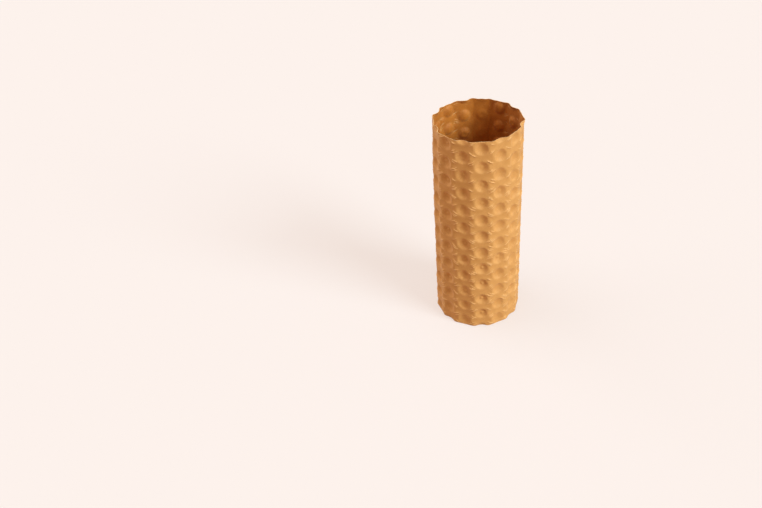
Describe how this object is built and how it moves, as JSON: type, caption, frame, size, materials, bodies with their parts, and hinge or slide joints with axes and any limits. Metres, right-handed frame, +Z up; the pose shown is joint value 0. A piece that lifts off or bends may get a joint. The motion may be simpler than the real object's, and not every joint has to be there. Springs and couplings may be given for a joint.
{
  "type": "paper bottle sleeve",
  "caption": "Open paper tube rolled from one sheet of dimpled kraft paper, slid over a bottle to cushion it in a shipping box.",
  "frame": {"origin": "middle of the lower edge, on the sleeve's axis", "axes": "+Z up the sleeve, +Y out through the middle of the glued lap"},
  "size_m": [0.066, 0.066, 0.167],
  "materials": {
    "kraft_paper": "uncoated, embossed"
  },
  "bodies": {
    "root": {"sleeve": "kraft_paper"}
  },
  "joints": []
}
